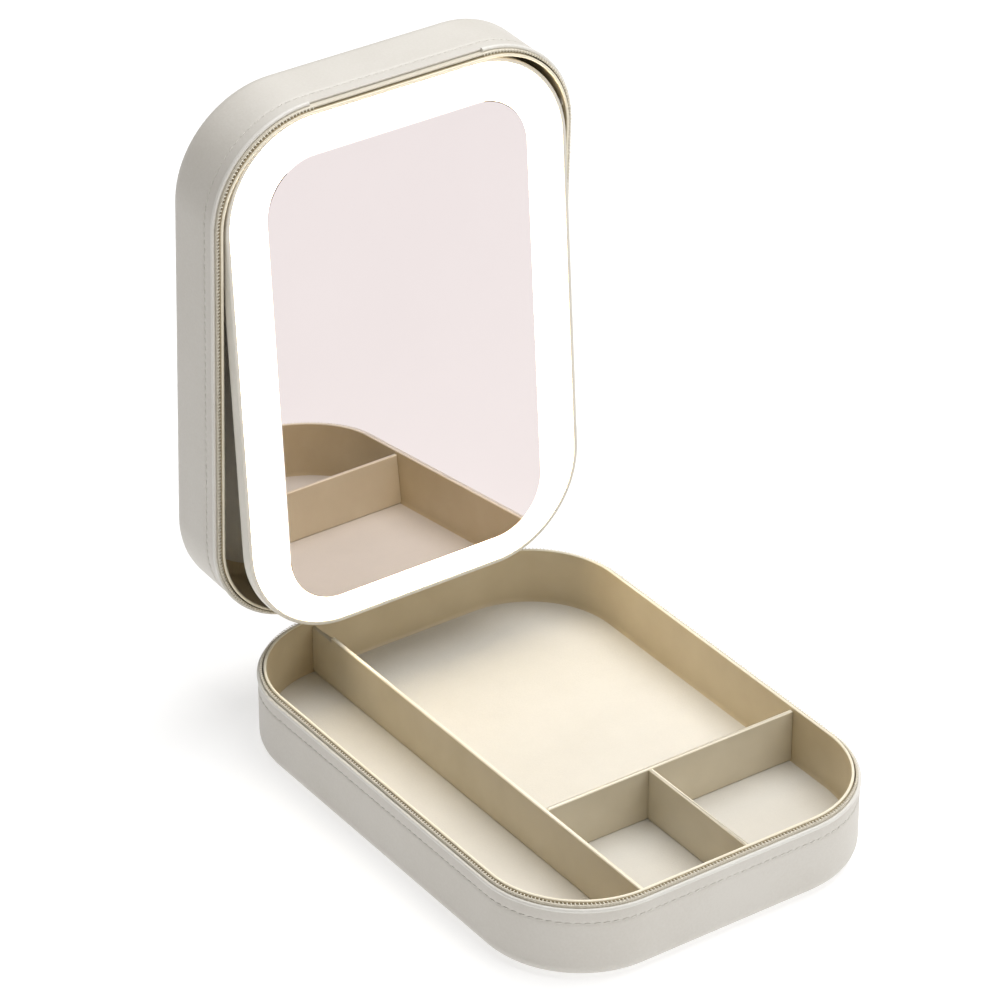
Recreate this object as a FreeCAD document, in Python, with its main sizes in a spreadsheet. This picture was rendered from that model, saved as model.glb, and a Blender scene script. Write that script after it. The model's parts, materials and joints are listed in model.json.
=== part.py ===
"""Travel jewelry case: two zipped leather shells on a back spine, a divided
tray in the base and a lit mirror panel that tilts in the lid.

Units are millimetres and degrees.  The base stands on z = 0 with the spine
at +Y.  Lid pieces are drawn closed, measured from the spine fold line, and
mirror pieces are drawn stowed, measured from the mirror's pivot line; their
placements then open the lid and tilt the mirror out of it.
"""
import FreeCAD
import Part
import Sketcher
import math
import os

os.makedirs("parts", exist_ok=True)
doc = FreeCAD.newDocument("jewelry_case")

# ---------------------------------------------------------------- sizes
SIZES = [
    # outside of the closed leather shells
    ("case_width", 142.6), ("case_depth", 198.2), ("case_corner", 37.3),
    ("base_height", 26.7), ("lid_height", 26.0), ("edge_round", 5.5),
    # wall build-up, from the leather inwards
    ("leather_thick", 0.8), ("core_thick", 0.95), ("layer_gap", 0.05),
    ("liner_inset", 2.0), ("liner_thick", 1.0), ("liner_proud", 3.0),
    ("core_drop", 3.2), ("rim_gap", 0.2),
    # tray floor and dividers
    ("foam_thick", 4.6), ("pad_thick", 0.95), ("divider_thick", 1.5),
    ("divider_drop", 1.2), ("relief_length", 12.0), ("relief_depth", 1.8),
    ("pen_bay_line", -33.4), ("front_bay_line", -41.6),
    ("ring_bay_line", 8.7),
    # zip
    ("tape_inset", 0.9), ("tape_thick", 0.5), ("coil_inset", 0.4),
    ("coil_width", 1.45), ("coil_height", 0.9), ("welt_height", 0.75),
    ("slider_offset", 29.0), ("slider_width", 6.0), ("slider_height", 5.3),
    ("pull_length", 21.0), ("pull_width", 6.0), ("pull_thick", 1.2),
    # spine
    ("spine_width", 48.0), ("spine_thick", 0.7), ("spine_bead", 0.5),
    ("fold_drop", 0.4), ("lid_open", 87.5),
    # mirror panel
    ("mirror_side_gap", 0.7), ("mirror_end_gap", 1.4), ("mirror_corner_trim", 1.5),
    ("mirror_thick", 6.0), ("mirror_sink", 0.6),
    ("mirror_tilt", 6.5), ("pivot_from_top", 25.0), ("pivot_radius", 1.2),
    ("pivot_clearance", 0.05), ("pivot_rise", 1.0), ("housing_wall", 1.6), ("housing_back", 1.0),
    ("diffuser_thick", 1.2), ("ring_side", 15.7), ("ring_end", 12.5),
    ("glass_corner_trim", 16.0), ("glass_thick", 2.0), ("glass_shift", 2.5),
]
sheet = doc.addObject("Spreadsheet::Sheet", "Sizes")
for row, (alias, size) in enumerate(SIZES, start=1):
    sheet.set("A%d" % row, alias)
    sheet.set("B%d" % row, str(size))
    sheet.setAlias("B%d" % row, alias)
doc.recompute()

NAMES = [alias for alias, _ in SIZES]

# Sizes that follow from others: the mirror panel fills the lid's opening, and
# the glass fills the panel inside its light ring.
FOLLOWING = {
    "mirror_width": "(case_width - 2 * (liner_inset + liner_thick + mirror_side_gap))",
    "mirror_depth": "(case_depth - 2 * (liner_inset + liner_thick + mirror_end_gap))",
    "mirror_corner": "(case_corner - mirror_corner_trim)",
    "glass_width": "(mirror_width - 2 * ring_side)",
    "glass_depth": "(mirror_depth - 2 * ring_end)",
    "glass_corner": "(mirror_corner - glass_corner_trim)",
}


def bound(text):
    """Turn bare size names in a formula into references to the sheet."""
    words = []
    word = ""
    for char in text + " ":
        if char.isalnum() or char == "_":
            word += char
            continue
        if word in FOLLOWING:
            word = bound(FOLLOWING[word])
        elif word in NAMES:
            word = "Sizes." + word
        words.append(word)
        words.append(char)
        word = ""
    return "".join(words).strip()


def number(text):
    """Present value of a formula, used only for first guesses in sketches."""
    result = sheet.evalExpression(bound(str(text)))
    return float(getattr(result, "Value", result))


# ---------------------------------------------------------------- heights
LINER_TOP = "(base_height + liner_proud)"
FOLD_Z = "(base_height + 2 * liner_proud + rim_gap - fold_drop)"
FOLD_Y = "(case_depth / 2 + layer_gap + spine_thick / 2)"
CORE_FLOOR = "(leather_thick + layer_gap + core_thick)"
LINER_BASE = "(leather_thick + core_thick + foam_thick + 3 * layer_gap)"
PAD_TOP = "(leather_thick + core_thick + foam_thick + 4 * layer_gap + liner_thick + pad_thick)"
LID_RIM = "(fold_drop - liner_proud)"
LID_TOP = "(fold_drop + lid_height)"
LINER_ROOF = "(fold_drop + lid_height - leather_thick - core_thick - 7 * layer_gap)"
LINER_INSIDE = "(liner_inset + liner_thick)"
MIRROR_FRONT = "(fold_drop - liner_proud + mirror_sink - pivot_rise)"
MIRROR_BACK = "(fold_drop - liner_proud + mirror_sink + mirror_thick - pivot_rise)"
MIRROR_MID = "(mirror_depth / 2 - pivot_from_top)"
PIVOT_Y = ("(pivot_from_top + mirror_end_gap - case_depth / 2 + liner_inset + liner_thick"
           " - case_depth / 2 - layer_gap - spine_thick / 2)")

nodes = []


# ---------------------------------------------------------------- helpers
def new_body(name):
    body = doc.addObject("PartDesign::Body", name)
    body.Label = name
    nodes.append(body)
    return body


def new_sketch(body, role, height, shift_x="0", shift_y="0"):
    """Sketch on one of the body's own origin planes, moved by formulas."""
    sketch = body.newObject("Sketcher::SketchObject", body.Name + "_sketch")
    plane = [item for item in body.Origin.OriginFeatures if item.Role == role][0]
    sketch.AttachmentSupport = [(plane, "")]
    sketch.MapMode = "FlatFace"
    sketch.setExpression("AttachmentOffset.Base.x", bound(shift_x))
    sketch.setExpression("AttachmentOffset.Base.y", bound(shift_y))
    sketch.setExpression("AttachmentOffset.Base.z", bound(height))
    return sketch


def add_outline(sketch, width, depth, radius):
    """Rounded rectangle about the sketch origin, driven by three formulas."""
    half_w = number(width) / 2
    half_d = number(depth) / 2
    r = number(radius)
    up = FreeCAD.Vector(0, 0, 1)

    def line(x0, y0, x1, y1):
        start = FreeCAD.Vector(x0, y0, 0)
        return sketch.addGeometry(Part.LineSegment(start, FreeCAD.Vector(x1, y1, 0)), False)

    def arc(x, y, quarter):
        circle = Part.Circle(FreeCAD.Vector(x, y, 0), up, r)
        first = quarter * math.pi / 2
        return sketch.addGeometry(Part.ArcOfCircle(circle, first, first + math.pi / 2), False)

    south = line(-half_w + r, -half_d, half_w - r, -half_d)
    east = line(half_w, -half_d + r, half_w, half_d - r)
    north = line(half_w - r, half_d, -half_w + r, half_d)
    west = line(-half_w, half_d - r, -half_w, -half_d + r)
    south_east = arc(half_w - r, -half_d + r, 3)
    north_east = arc(half_w - r, half_d - r, 0)
    north_west = arc(-half_w + r, half_d - r, 1)
    south_west = arc(-half_w + r, -half_d + r, 2)
    loop = [south, south_east, east, north_east, north, north_west, west, south_west]
    for index, piece in enumerate(loop):
        after = loop[(index + 1) % len(loop)]
        sketch.addConstraint(Sketcher.Constraint("Tangent", piece, 2, after, 1))
    sketch.addConstraint(Sketcher.Constraint("Horizontal", south))
    sketch.addConstraint(Sketcher.Constraint("Horizontal", north))
    sketch.addConstraint(Sketcher.Constraint("Vertical", east))
    sketch.addConstraint(Sketcher.Constraint("Vertical", west))
    for corner in (north_east, north_west, south_west):
        sketch.addConstraint(Sketcher.Constraint("Equal", south_east, corner))
    tag = "outline%d" % south
    driven = [
        ("r", Sketcher.Constraint("Radius", south_east, r), radius),
        ("e", Sketcher.Constraint("DistanceX", -1, 1, east, 1, half_w), width + " / 2"),
        ("w", Sketcher.Constraint("DistanceX", west, 1, -1, 1, half_w), width + " / 2"),
        ("n", Sketcher.Constraint("DistanceY", -1, 1, north, 1, half_d), depth + " / 2"),
        ("s", Sketcher.Constraint("DistanceY", south, 1, -1, 1, half_d), depth + " / 2"),
    ]
    for letter, constraint, formula in driven:
        index = sketch.addConstraint(constraint)
        sketch.renameConstraint(index, tag + letter)
        sketch.setExpression("Constraints." + tag + letter, bound(formula))


def add_circle(sketch, radius):
    """Circle on the sketch origin."""
    centre = FreeCAD.Vector(0, 0, 0)
    circle = Part.Circle(centre, FreeCAD.Vector(0, 0, 1), number(radius))
    index = sketch.addGeometry(circle, False)
    sketch.addConstraint(Sketcher.Constraint("Coincident", index, 3, -1, 1))
    size = sketch.addConstraint(Sketcher.Constraint("Radius", index, number(radius)))
    sketch.renameConstraint(size, "hole_radius")
    sketch.setExpression("Constraints.hole_radius", bound(radius))


def add_feature(body, kind, sketch, length, reversed_way=False):
    """Pad or pocket of a sketch, then a recompute so later steps can use it."""
    feature = body.newObject("PartDesign::" + kind, body.Name + "_" + kind.lower())
    feature.Profile = sketch
    feature.setExpression("Length", bound(length))
    feature.Reversed = reversed_way
    sketch.Visibility = False
    body.Tip = feature
    doc.recompute()
    return feature


def add_fillet(body, level, inside, outside, radius):
    """Round the closed loop of edges lying at one height.

    Only edges whose farthest point lies between the two insets from the
    shell outline are taken, so inner and outer loops stay apart.
    """
    tip = body.Tip
    height = number(level)
    wanted = []
    for index, edge in enumerate(tip.Shape.Edges, start=1):
        box = edge.BoundBox
        reach = max(abs(box.XMin), abs(box.XMax))
        flat = abs(box.ZMin - height) < 1e-4 and abs(box.ZMax - height) < 1e-4
        if flat and inside - 1e-3 < reach < outside + 1e-3:
            wanted.append("Edge%d" % index)
    fillet = body.newObject("PartDesign::Fillet", body.Name + "_fillet")
    fillet.Base = (tip, wanted)
    fillet.setExpression("Radius", bound(radius))
    body.Tip = fillet
    doc.recompute()


def inset_size(inset):
    """Width, depth and corner radius of the shell outline moved inwards."""
    return ("(case_width - 2 * %s)" % inset, "(case_depth - 2 * %s)" % inset,
            "(case_corner - %s)" % inset)


def slab(body, size, low, high, shift_x="0", shift_y="0"):
    """Solid rounded plate between two heights."""
    sketch = new_sketch(body, "XY_Plane", low, shift_x, shift_y)
    add_outline(sketch, *size)
    return add_feature(body, "Pad", sketch, high + " - " + low)


def cut_slab(body, size, low, high, shift_x="0", shift_y="0"):
    """Rounded plate removed from the body between two heights."""
    sketch = new_sketch(body, "XY_Plane", high, shift_x, shift_y)
    add_outline(sketch, *size)
    return add_feature(body, "Pocket", sketch, high + " - " + low)


def ring(body, outer, inner, low, high, shift_y="0"):
    """Closed band with an even wall."""
    sketch = new_sketch(body, "XY_Plane", low, "0", shift_y)
    add_outline(sketch, *outer)
    add_outline(sketch, *inner)
    return add_feature(body, "Pad", sketch, high + " - " + low)


def rod(body, radius, low_x, high_x, at_y, at_z, kind="Pad"):
    """Round bar (or round hole) along X between two positions."""
    if kind == "Pad":
        sketch = new_sketch(body, "YZ_Plane", low_x, at_y, at_z)
    else:
        sketch = new_sketch(body, "YZ_Plane", high_x, at_y, at_z)
    add_circle(sketch, radius)
    return add_feature(body, kind, sketch, high_x + " - " + low_x)


def cup(body, inset, wall, floor, low, high, outer_round, inner_round, open_up, shift_y="0"):
    """Rounded box with one open side."""
    outer = inset_size(inset)
    inner = inset_size("(" + inset + " + " + wall + ")")
    slab(body, outer, low, high, "0", shift_y)
    closed = low if open_up else high
    if open_up:
        level = "(" + low + " + " + floor + ")"
        cut_slab(body, inner, level, high, "0", shift_y)
    else:
        level = "(" + high + " - " + floor + ")"
        cut_slab(body, inner, low, level, "0", shift_y)
    if inner_round:
        add_fillet(body, level, 0, number(inner[0]) / 2, inner_round)
    if outer_round:
        add_fillet(body, closed, 0, number(outer[0]) / 2, outer_round)


def place(bodies, move_y, move_z, angle):
    """Turn pieces about X and carry them to their pivot, all by formula."""
    for body in bodies:
        start = FreeCAD.Vector(0, number(move_y), number(move_z))
        turn = FreeCAD.Rotation(FreeCAD.Vector(1, 0, 0), number(angle))
        body.Placement = FreeCAD.Placement(start, turn)
        body.setExpression("Placement.Base.y", bound(move_y))
        body.setExpression("Placement.Base.z", bound(move_z))
        body.setExpression("Placement.Rotation.Angle", bound(angle))


# ---------------------------------------------------------------- base shell
# Leather stretched over a stiff core, both open at the top.
cup(new_body("base_leather_cover"), "0", "leather_thick", "leather_thick",
    "0", "base_height", "edge_round", "edge_round - leather_thick", True)

core_inset = "(leather_thick + layer_gap)"
cup(new_body("base_core_shell"), core_inset, "core_thick", "core_thick",
    core_inset, "(base_height - core_drop)",
    "edge_round - leather_thick - layer_gap",
    "edge_round - leather_thick - layer_gap - core_thick", True)

# Foam board that lifts the tray floor above the core.
foam_size = inset_size("(liner_inset + edge_round - 1)")
slab(new_body("base_foam_board"), foam_size,
     "(leather_thick + core_thick + 2 * layer_gap)",
     "(leather_thick + core_thick + foam_thick + 2 * layer_gap)")

# Thin moulded tray whose rim stands proud of the leather edge.
cup(new_body("base_tray"), "liner_inset", "liner_thick", "liner_thick",
    LINER_BASE, LINER_TOP, "2", "", True)

slab(new_body("tray_floor_pad"), inset_size("(liner_inset + liner_thick + 0.2)"),
     "(" + LINER_BASE + " + liner_thick + layer_gap)", PAD_TOP)

# ---------------------------------------------------------------- dividers
DIVIDER_TOP = "(base_height + liner_proud - divider_drop)"
DIVIDER_FOOT = "(" + PAD_TOP + " + layer_gap)"
INSIDE_HALF_W = "(case_width / 2 - liner_inset - liner_thick - 2 * layer_gap)"
INSIDE_HALF_D = "(case_depth / 2 - liner_inset - liner_thick - 2 * layer_gap)"
DIVIDER_CORNER = "0.3"

pen_board = new_body("pen_divider")
slab(pen_board, ("divider_thick", "(2 * " + INSIDE_HALF_D + ")", DIVIDER_CORNER),
     DIVIDER_FOOT, DIVIDER_TOP, "pen_bay_line", "0")
# Its rear end is stepped down, so the mirror's lower edge passes over it as the lid closes.
cut_slab(pen_board, ("(divider_thick + 2)", "(2 * relief_length)", "0.5"),
         "(" + DIVIDER_TOP + " - relief_depth)", DIVIDER_TOP, "pen_bay_line", INSIDE_HALF_D)

cross_start = "(pen_bay_line + divider_thick / 2 + layer_gap)"
slab(new_body("cross_divider"),
     ("(" + INSIDE_HALF_W + " - " + cross_start + ")", "divider_thick", DIVIDER_CORNER),
     DIVIDER_FOOT, DIVIDER_TOP,
     "(" + INSIDE_HALF_W + " + " + cross_start + ") / 2", "front_bay_line")

short_end = "(front_bay_line - divider_thick / 2 - layer_gap)"
slab(new_body("short_divider"),
     ("divider_thick", "(" + INSIDE_HALF_D + " + " + short_end + ")", DIVIDER_CORNER),
     DIVIDER_FOOT, DIVIDER_TOP, "ring_bay_line",
     "(" + short_end + " - " + INSIDE_HALF_D + ") / 2")

# ---------------------------------------------------------------- base zip
# The zip runs round three sides and stops either side of the spine.
tape_ring = (inset_size("tape_inset"), inset_size("(tape_inset + tape_thick)"))
coil_ring = (inset_size("coil_inset"), inset_size("(coil_inset + coil_width)"))
welt_ring = (inset_size("0"), inset_size("leather_thick"))
BACK_CUT_DEPTH = "20"
TAPE_GAP = ("(spine_width + 2)", BACK_CUT_DEPTH, "1")
COIL_GAP = ("(2 * slider_offset + slider_width + 1)", BACK_CUT_DEPTH, "1")
WELT_GAP = ("(spine_width + 1.2)", BACK_CUT_DEPTH, "0.2")


def zip_band(name, outline, gap, low, high, shift_y="0"):
    """Band round the shell with a gap at the spine."""
    body = new_body(name)
    ring(body, outline[0], outline[1], low, high, shift_y)
    if gap:
        cut_slab(body, gap, low, high, "0", "case_depth / 2 + " + shift_y)


zip_band("base_edge_welt", welt_ring, None, "(base_height + layer_gap)",
         "(base_height + layer_gap + welt_height)")
TAPE_TOP = "(base_height + liner_proud - coil_height - 2 * layer_gap)"
zip_band("base_zip_tape", tape_ring, TAPE_GAP,
         "(base_height - core_drop + layer_gap)", TAPE_TOP)
COIL_LOW = "(" + TAPE_TOP + " + layer_gap)"
COIL_HIGH = "(base_height + liner_proud - layer_gap)"
zip_band("base_zip_coil", coil_ring, COIL_GAP, COIL_LOW, COIL_HIGH)

# ---------------------------------------------------------------- spine, base half
spine = new_body("base_hinge_leaf")
slab(spine, ("spine_width", "spine_thick", "0.2"), "8", FOLD_Z, "0", FOLD_Y)
rod(spine, "spine_bead", "(-spine_width / 2)", "(spine_width / 2)", FOLD_Y, FOLD_Z)

# ---------------------------------------------------------------- zip sliders
SLIDER_FACE = "(case_depth / 2 + 0.1)"
PLATE_THICK = "1.2"
PLATE_LOW = "(base_height - 0.2)"
PLATE_HIGH = "(base_height - 0.2 + slider_height)"
EYE_Y = "(case_depth / 2 + 2.45)"
EYE_Z = "(base_height + 3.6)"
EYE_HALF = "(pull_thick + 0.02)"
for side, sign in (("left", "-"), ("right", "")):
    at_x = "(" + sign + "slider_offset)"
    slider = new_body("zip_slider_" + side)
    slab(slider, ("slider_width", PLATE_THICK, "0.4"), PLATE_LOW, PLATE_HIGH,
         at_x, "(" + SLIDER_FACE + " + 0.6)")
    slab(slider, ("4.4", "2.4", "0.4"), COIL_LOW, COIL_HIGH, at_x,
         "(" + SLIDER_FACE + " - 0.9)")
    for lug in ("-", "+"):
        slab(slider, ("0.8", "2.2", "0.2"), "(" + EYE_Z + " - 1.1)", "(" + EYE_Z + " + 1.1)",
             "(" + at_x + lug + " 1.75)", "(" + SLIDER_FACE + " + 2.1)")
    rod(slider, "0.4", "(" + at_x + " - 1.75)", "(" + at_x + " + 1.75)", EYE_Y, EYE_Z)

    pull = new_body("zip_pull_" + side)
    rod(pull, "1.1", "(" + at_x + " - 1.2)", "(" + at_x + " + 1.2)", EYE_Y, EYE_Z)
    slab(pull, ("2.4", "pull_thick", "0.3"), "(" + EYE_Z + " - 7)", "(" + EYE_Z + " - 0.6)",
         at_x, EYE_Y)
    slab(pull, ("pull_width", "pull_thick", "0.5"), "(" + EYE_Z + " - pull_length)",
         "(" + EYE_Z + " - 6)", at_x, EYE_Y)
    rod(pull, "0.45", "(" + at_x + " - 4)", "(" + at_x + " + 4)", EYE_Y, EYE_Z, "Pocket")

# ---------------------------------------------------------------- lid shell
LID_SHIFT = "(-case_depth / 2 - layer_gap - spine_thick / 2)"
base_count = len(nodes)

cup(new_body("lid_leather_cover"), "0", "leather_thick", "leather_thick",
    "fold_drop", LID_TOP, "edge_round", "edge_round - leather_thick", False, LID_SHIFT)

cup(new_body("lid_core_shell"), core_inset, "core_thick", "core_thick",
    "(fold_drop + core_drop)", "(" + LID_TOP + " - leather_thick - layer_gap)",
    "edge_round - leather_thick - layer_gap",
    "edge_round - leather_thick - layer_gap - core_thick", False, LID_SHIFT)

# Moulded lid liner with a seat bored through each side for the mirror bushes.
liner = new_body("lid_liner")
cup(liner, "liner_inset", "liner_thick", "liner_thick", LID_RIM, LINER_ROOF,
    "edge_round - 2.1", "edge_round - 2.1 - liner_thick", False, LID_SHIFT)
BUSH_RADIUS = "2.0"
rod(liner, "(" + BUSH_RADIUS + " + layer_gap)", "(-case_width / 2)", "(case_width / 2)",
    PIVOT_Y, "pivot_rise", "Pocket")

slab(new_body("lid_back_pad"), inset_size("(liner_inset + edge_round)"),
     "(" + LINER_ROOF + " - liner_thick - layer_gap - pad_thick)",
     "(" + LINER_ROOF + " - liner_thick - layer_gap)", "0", LID_SHIFT)

zip_band("lid_edge_welt", welt_ring, WELT_GAP, "(fold_drop - layer_gap - welt_height)",
         "(fold_drop - layer_gap)", LID_SHIFT)
LID_TAPE_LOW = "(" + LID_RIM + " + coil_height + 2 * layer_gap)"
zip_band("lid_zip_tape", tape_ring, TAPE_GAP, LID_TAPE_LOW,
         "(fold_drop + core_drop - layer_gap)", LID_SHIFT)
zip_band("lid_zip_coil", coil_ring, COIL_GAP, "(" + LID_RIM + " + layer_gap)",
         "(" + LID_TAPE_LOW + " - layer_gap)", LID_SHIFT)

slab(new_body("lid_hinge_leaf"), ("spine_width", "spine_thick", "0.2"),
     "(spine_bead + 0.2)", "(lid_height - 4)")

# Bushes carry the mirror's pivot pins in the liner's side walls.
BUSH_IN = "(case_width / 2 - liner_inset - liner_thick - 1.3)"
BUSH_OUT = "(case_width / 2 - liner_inset - 0.9)"
for side, low, high in (("left", "(-" + BUSH_OUT + ")", "(-" + BUSH_IN + ")"),
                        ("right", BUSH_IN, BUSH_OUT)):
    bush = new_body("pivot_bush_" + side)
    rod(bush, BUSH_RADIUS, low, high, PIVOT_Y, "pivot_rise")
    rod(bush, "(pivot_radius + pivot_clearance)", "(" + low + " - 1)", "(" + high + " + 1)",
        PIVOT_Y, "pivot_rise", "Pocket")

place(nodes[base_count:], FOLD_Y, FOLD_Z, "-lid_open")

# ---------------------------------------------------------------- mirror panel
mirror_count = len(nodes)
panel_size = ("mirror_width", "mirror_depth", "mirror_corner")


def panel_inset(inset):
    return ("(mirror_width - 2 * %s)" % inset, "(mirror_depth - 2 * %s)" % inset,
            "(mirror_corner - %s)" % inset)


GLASS_MID = "(" + MIRROR_MID + " + glass_shift)"
DIFFUSER_BACK = "(" + MIRROR_FRONT + " + diffuser_thick)"
GLASS_BACK = "(" + MIRROR_FRONT + " + 0.05 + glass_thick)"
CAVITY_BACK = "(" + MIRROR_BACK + " - housing_back)"

# Shallow moulded housing open at the front.
housing = new_body("mirror_housing")
slab(housing, panel_size, MIRROR_FRONT, MIRROR_BACK, "0", MIRROR_MID)
add_fillet(housing, MIRROR_BACK, 0, number("mirror_width") / 2, "1.5")
cut_slab(housing, panel_inset("housing_wall"), MIRROR_FRONT, CAVITY_BACK, "0", MIRROR_MID)
rod(housing, "(pivot_radius + pivot_clearance)", "(-mirror_width / 2 - 1)",
    "(mirror_width / 2 + 1)", "0", "0", "Pocket")
SOCKET_Z = "(" + CAVITY_BACK + " - 1.25)"
socket_wall = "(" + MIRROR_MID + " + mirror_depth / 2)"
cut_slab(housing, ("7.6", "6", "0.3"), "(" + SOCKET_Z + " - 1.2)", "(" + SOCKET_Z + " + 1.2)",
         "0", socket_wall)

# Milky light ring round the glass, lit from behind by a flexible strip.
diffuser = new_body("light_diffuser")
opening = ("(glass_width + 0.1)", "(glass_depth + 0.1)", "(glass_corner + 0.05)")
slab(diffuser, panel_inset("(housing_wall + 0.05)"), MIRROR_FRONT, DIFFUSER_BACK,
     "0", MIRROR_MID)
cut_slab(diffuser, opening, MIRROR_FRONT, DIFFUSER_BACK, "0", GLASS_MID)

slab(new_body("mirror_glass"), ("glass_width", "glass_depth", "glass_corner"),
     "(" + MIRROR_FRONT + " + 0.05)", GLASS_BACK, "0", GLASS_MID)

STRIP_LOW = "(" + GLASS_BACK + " - 0.65)"
ring(new_body("led_strip"),
     ("(glass_width + 18)", "(glass_depth + 14)", "(glass_corner + 8)"),
     ("(glass_width + 8)", "(glass_depth + 8)", "(glass_corner + 4)"),
     STRIP_LOW, "(" + STRIP_LOW + " + 0.6)", GLASS_MID)

PLATE_FRONT = "(" + GLASS_BACK + " + layer_gap)"
slab(new_body("reflector_plate"), panel_inset("(housing_wall + 0.9)"), PLATE_FRONT,
     "(" + PLATE_FRONT + " + 0.4)", "0", MIRROR_MID)

REAR_LOW = "(" + PLATE_FRONT + " + 0.45)"
slab(new_body("battery_cell"), ("60", "42", "2"), REAR_LOW,
     "(" + CAVITY_BACK + " - 0.05)", "0", MIRROR_MID)
slab(new_body("control_board"), ("34", "16", "1"), REAR_LOW, "(" + REAR_LOW + " + 0.8)",
     "0", "(" + socket_wall + " - housing_wall - 18)")
slab(new_body("charge_socket"), ("7.4", "5.2", "0.3"), "(" + SOCKET_Z + " - 1.1)",
     "(" + SOCKET_Z + " + 1.1)", "0", "(" + socket_wall + " - 2.9)")

# Stub pins the panel turns on.
PIN_IN = "(mirror_width / 2 - housing_wall - 2)"
PIN_OUT = "(case_width / 2 - liner_inset - 1)"
for side, low, high in (("left", "(-" + PIN_OUT + ")", "(-" + PIN_IN + ")"),
                        ("right", PIN_IN, PIN_OUT)):
    rod(new_body("mirror_pin_" + side), "pivot_radius", low, high, "0", "0")

TILT = "(lid_open + mirror_tilt)"
place(nodes[mirror_count:],
      FOLD_Y + " + " + PIVOT_Y + " * cos(lid_open) + pivot_rise * sin(lid_open)",
      FOLD_Z + " - " + PIVOT_Y + " * sin(lid_open) + pivot_rise * cos(lid_open)",
      "-" + TILT)

# ---------------------------------------------------------------- check and write
doc.recompute()
problems = []
for item in doc.Objects:
    if "Invalid" in item.State or "Error" in item.State:
        problems.append(item.Label + " " + str(item.State))
for node in nodes:
    if node.Shape.isNull() or not node.Shape.isValid() or len(node.Shape.Solids) != 1:
        problems.append(node.Label + " shape")
if problems:
    raise RuntimeError("bad pieces: " + ", ".join(problems))
for node in nodes:
    node.Shape.exportStep("parts/" + node.Label + ".step")
    box = node.Shape.BoundBox
    spans = (box.XMin, box.XMax, box.YMin, box.YMax, box.ZMin, box.ZMax)
    print(node.Label, " ".join("%.2f" % span for span in spans), "%.1f" % node.Shape.Volume)
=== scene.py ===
import json
import math

import bmesh
import bpy
from mathutils import Matrix, Vector


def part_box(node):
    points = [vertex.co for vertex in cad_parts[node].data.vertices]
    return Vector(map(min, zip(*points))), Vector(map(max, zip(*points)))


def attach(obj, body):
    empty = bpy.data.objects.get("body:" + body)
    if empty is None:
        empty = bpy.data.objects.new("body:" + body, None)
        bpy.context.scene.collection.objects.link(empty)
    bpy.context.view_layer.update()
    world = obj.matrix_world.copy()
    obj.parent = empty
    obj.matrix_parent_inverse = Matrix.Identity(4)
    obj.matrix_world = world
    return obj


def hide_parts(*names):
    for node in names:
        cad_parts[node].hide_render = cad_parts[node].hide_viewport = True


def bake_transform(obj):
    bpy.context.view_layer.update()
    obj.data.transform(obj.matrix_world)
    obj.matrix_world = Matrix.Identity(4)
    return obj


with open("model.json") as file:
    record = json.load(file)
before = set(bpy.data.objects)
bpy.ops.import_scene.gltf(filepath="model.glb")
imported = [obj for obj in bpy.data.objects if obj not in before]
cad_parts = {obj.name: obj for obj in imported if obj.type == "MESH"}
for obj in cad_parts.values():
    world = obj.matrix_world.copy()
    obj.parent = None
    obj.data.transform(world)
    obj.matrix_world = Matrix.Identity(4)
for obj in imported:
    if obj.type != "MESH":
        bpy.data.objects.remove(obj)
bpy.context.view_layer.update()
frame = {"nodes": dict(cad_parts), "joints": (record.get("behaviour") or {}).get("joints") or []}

MM = 0.001
scene = bpy.context.scene
scene.view_settings.view_transform = "Standard"
scene.view_settings.look = "None"


class Level:
    """One number that varies over a surface; sums and products add Math nodes."""

    def __init__(self, finish, socket):
        self.finish = finish
        self.socket = socket

    def math(self, operation, first, second=0.0):
        return self.finish.node("ShaderNodeMath", {"operation": operation}, {0: first, 1: second})

    def __add__(self, other):
        return self.math("ADD", self, other)

    def __sub__(self, other):
        return self.math("SUBTRACT", self, other)

    def __rsub__(self, other):
        return self.math("SUBTRACT", other, self)

    def __mul__(self, other):
        return self.math("MULTIPLY", self, other)

    def wave(self):
        return self.math("SINE", self)

    __radd__ = __add__
    __rmul__ = __mul__


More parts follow.
